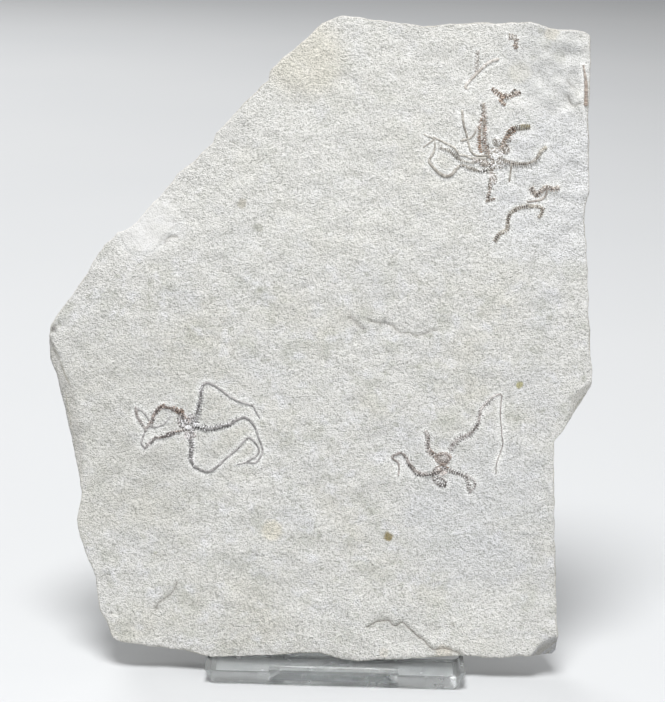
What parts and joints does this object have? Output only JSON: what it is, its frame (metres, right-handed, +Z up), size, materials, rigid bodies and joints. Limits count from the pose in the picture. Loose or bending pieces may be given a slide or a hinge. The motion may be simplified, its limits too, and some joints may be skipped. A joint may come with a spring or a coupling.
{
  "type": "fossil brittle star slab on a display stand",
  "caption": "Upright slab of pale limestone with fossil brittle stars and loose arm pieces in low relief on its face, leaning on a clear moulded display easel.",
  "frame": {"origin": "centre of the whole object's box, at the level of the surface that the stand rests on", "axes": "+Z up, the fossil face looks along -Y and leans back, +X to the viewer's right"},
  "size_m": [0.158, 0.0798, 0.185],
  "materials": {
    "limestone": "split and scraped, fine dry grain, matt",
    "brown_calcite": "prepared fossil calcite, dull with a slight sparkle",
    "clear_acrylic": "clear, moulded and polished"
  },
  "bodies": {
    "root": {"slab": "limestone", "stand": "clear_acrylic", "brittle_star_left": "brown_calcite", "brittle_star_right": "brown_calcite", "brittle_star_upper": "brown_calcite", "arm_piece_forked": "brown_calcite", "arm_piece_faint": "brown_calcite", "arm_piece_top": "brown_calcite", "arm_piece_edge": "brown_calcite", "arm_piece_long": "brown_calcite", "arm_piece_curled": "brown_calcite"}
  },
  "joints": []
}
